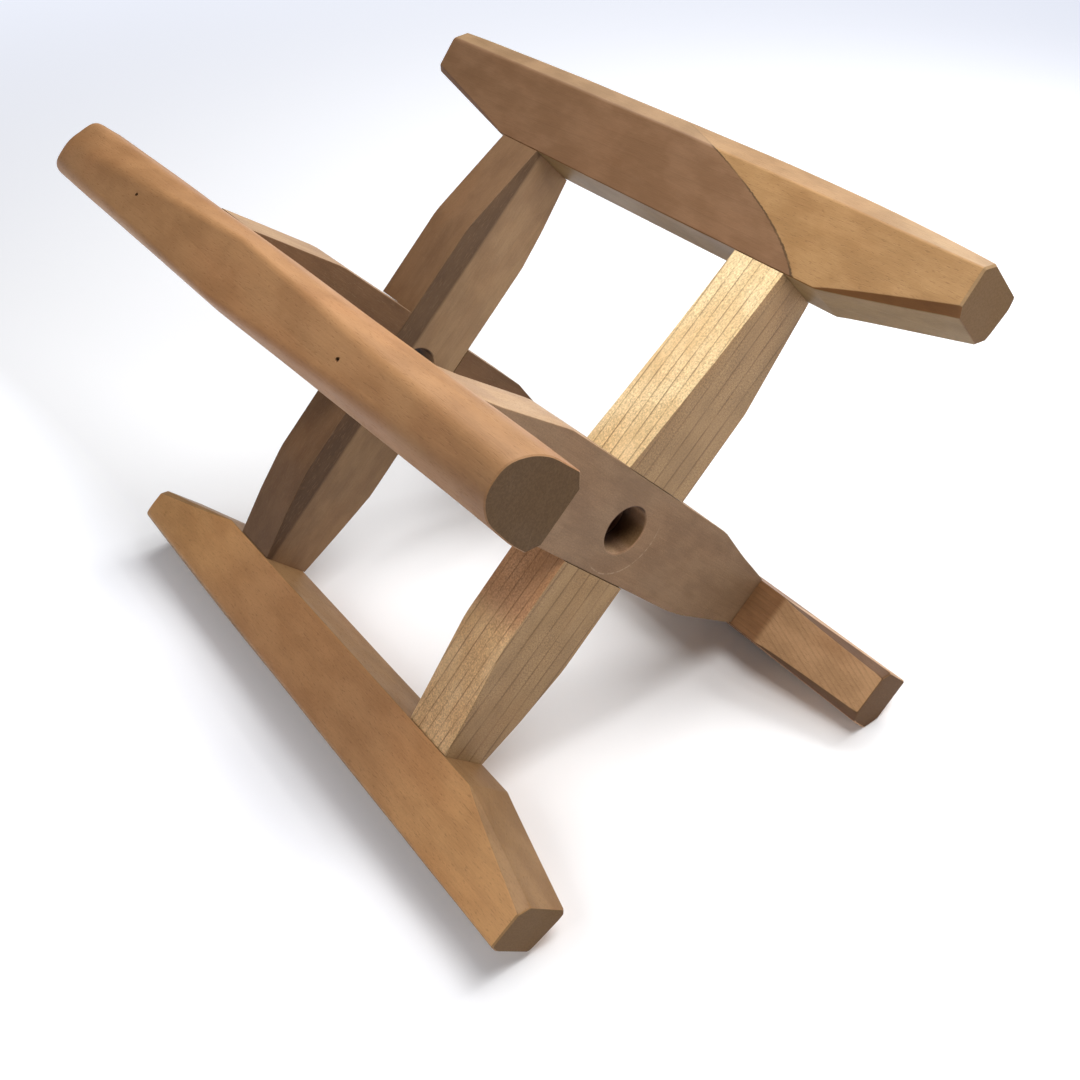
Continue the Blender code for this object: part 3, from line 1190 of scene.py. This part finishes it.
def dress(piece, material):
    """Give a piece its material and its body."""
    piece.data.materials.clear()
    piece.data.materials.append(material)
    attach(piece, BODY)


# ---------------------------------------------------------------- stage


def floor_glow(graph):
    """Return how strongly the floor glows at each place."""
    place_on_floor = graph.nodes.new("ShaderNodeTexCoord").outputs["Object"]
    distance = graph.nodes.new("ShaderNodeVectorMath")
    distance.operation = "LENGTH"
    graph.feed(distance.inputs[0], place_on_floor)
    far_glow = graph.ramp(distance.outputs["Value"], FLOOR_GLOW_START, FLOOR_GLOW_FULL)
    far_glow = graph.math("MULTIPLY", far_glow, FLOOR_GLOW)
    across = graph.split(place_on_floor)[0]
    left_glow = graph.ramp(across, LEFT_GLOW_FULL, LEFT_GLOW_START, LEFT_GLOW, 0.0)
    return graph.math("MAXIMUM", far_glow, left_glow)


def make_floor(height):
    """Lay a plain pale floor under the reel."""
    half = FLOOR_SIZE / 2
    corners = [
        (-half, -half, height),
        (half, -half, height),
        (half, half, height),
        (-half, half, height),
    ]
    data = bpy.data.meshes.new("floor")
    data.from_pydata(corners, [], [(0, 1, 2, 3)])
    floor = bpy.data.objects.new("floor", data)
    bpy.context.scene.collection.objects.link(floor)
    graph = Graph("floor_paper")
    graph.shader.inputs["Base Color"].default_value = FLOOR_COLOUR
    graph.shader.inputs["Roughness"].default_value = FLOOR_ROUGHNESS
    graph.shader.inputs["Emission Color"].default_value = FLOOR_GLOW_COLOUR
    graph.feed(graph.shader.inputs["Emission Strength"], floor_glow(graph))
    data.materials.append(graph.material)


def aim(thing, target, roll=0.0):
    """Point a camera or lamp at a target."""
    direction = Vector(target) - thing.location
    turn = direction.to_track_quat("-Z", "Y").to_matrix() @ Matrix.Rotation(roll, 3, "Z")
    thing.rotation_euler = turn.to_euler()


def add_lamp(name, place_at, size, watts):
    """Add one soft rectangular lamp that points at the reel."""
    data = bpy.data.lights.new(name, "AREA")
    data.shape = "RECTANGLE"
    data.size, data.size_y = size
    data.energy = watts
    lamp = bpy.data.objects.new(name, data)
    lamp.location = place_at
    bpy.context.scene.collection.objects.link(lamp)
    aim(lamp, (0.0, 0.0, 0.0))


def light_world():
    """Surround the reel with a pale backdrop that is bright to the eye but gives little light."""
    world = bpy.data.worlds.new("surround")
    bpy.context.scene.world = world
    world.use_nodes = True
    nodes, links = world.node_tree.nodes, world.node_tree.links
    seen = nodes.new("ShaderNodeBackground")
    seen.inputs["Color"].default_value = SEEN_COLOUR
    seen.inputs["Strength"].default_value = SEEN_STRENGTH
    fill = nodes["Background"]
    fill.inputs["Color"].default_value = FILL_COLOUR
    fill.inputs["Strength"].default_value = FILL_STRENGTH
    path = nodes.new("ShaderNodeLightPath")
    choice = nodes.new("ShaderNodeMixShader")
    links.new(path.outputs["Is Camera Ray"], choice.inputs[0])
    links.new(fill.outputs[0], choice.inputs[1])
    links.new(seen.outputs[0], choice.inputs[2])
    links.new(choice.outputs[0], nodes["World Output"].inputs["Surface"])


def make_camera():
    """Add the camera at the photographed viewing angle."""
    data = bpy.data.cameras.new("camera")
    data.lens = CAMERA_LENS_MM
    data.sensor_width = CAMERA_SENSOR_MM
    camera = bpy.data.objects.new("camera", data)
    camera.location = CAMERA_PLACE
    bpy.context.scene.collection.objects.link(camera)
    aim(camera, CAMERA_TARGET, CAMERA_ROLL)
    bpy.context.scene.camera = camera


# ---------------------------------------------------------------- build


def cross_middles():
    """Return the y of each cross's middle plane, from the CAD arms."""
    middles = {}
    for cross in ("front", "back"):
        low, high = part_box(f"{cross}_rising_arm")
        middles[cross] = (low.y + high.y) / 2
    return middles


def build_rails(middles):
    """Build the four rails."""
    for number, (name, rail) in enumerate(RAILS.items()):
        piece = make_rail(name, rail, middles.values(), seed=number * SHAPE_SEED_STEP)
        wood_seed = number * WOOD_SEED_STEP
        dress(piece, wood_material(name, RAIL_WOODS[name], 1, wood_seed))


def build_arms():
    """Build the four arms; a cross's rising arm is notched on its outer side."""
    for number, (name, arm) in enumerate(ARMS.items()):
        cross, kind, _ = name.split("_")
        other = "falling" if kind == "rising" else "rising"
        outward = -1 if cross == "front" else 1
        notch_side = outward if kind == "rising" else -outward
        seed = FIRST_ARM_SEED + number * SHAPE_SEED_STEP
        piece = make_arm(name, arm, ARMS[f"{cross}_{other}_arm"], notch_side, seed)
        wood_seed = FIRST_ARM_WOOD_SEED + number * WOOD_SEED_STEP
        dress(piece, wood_material(name, ARM_WOODS[name], 0, wood_seed))


def build_nails(middles):
    """Build the eight nails, one for each tenon."""
    iron = nail_material()
    for rail_name, rail in RAILS.items():
        for cross, middle in middles.items():
            name = f"{rail_name.removesuffix('rail')}{cross}_nail"
            dress(make_nail(name, rail, middle), iron)


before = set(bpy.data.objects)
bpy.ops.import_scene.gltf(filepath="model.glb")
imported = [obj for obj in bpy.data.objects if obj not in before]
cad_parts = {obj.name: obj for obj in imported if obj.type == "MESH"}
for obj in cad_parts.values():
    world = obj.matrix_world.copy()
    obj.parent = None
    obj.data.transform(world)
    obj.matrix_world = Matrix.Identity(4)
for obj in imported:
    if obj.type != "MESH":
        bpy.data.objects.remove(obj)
cad_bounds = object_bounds()
make_camera()
middles = cross_middles()
build_rails(middles)
build_arms()
build_nails(middles)
make_floor(Vector(cad_bounds[0]).z)
light_world()
for lamp in LAMPS:
    add_lamp(*lamp)
bpy.context.scene.view_settings.view_transform = "Standard"
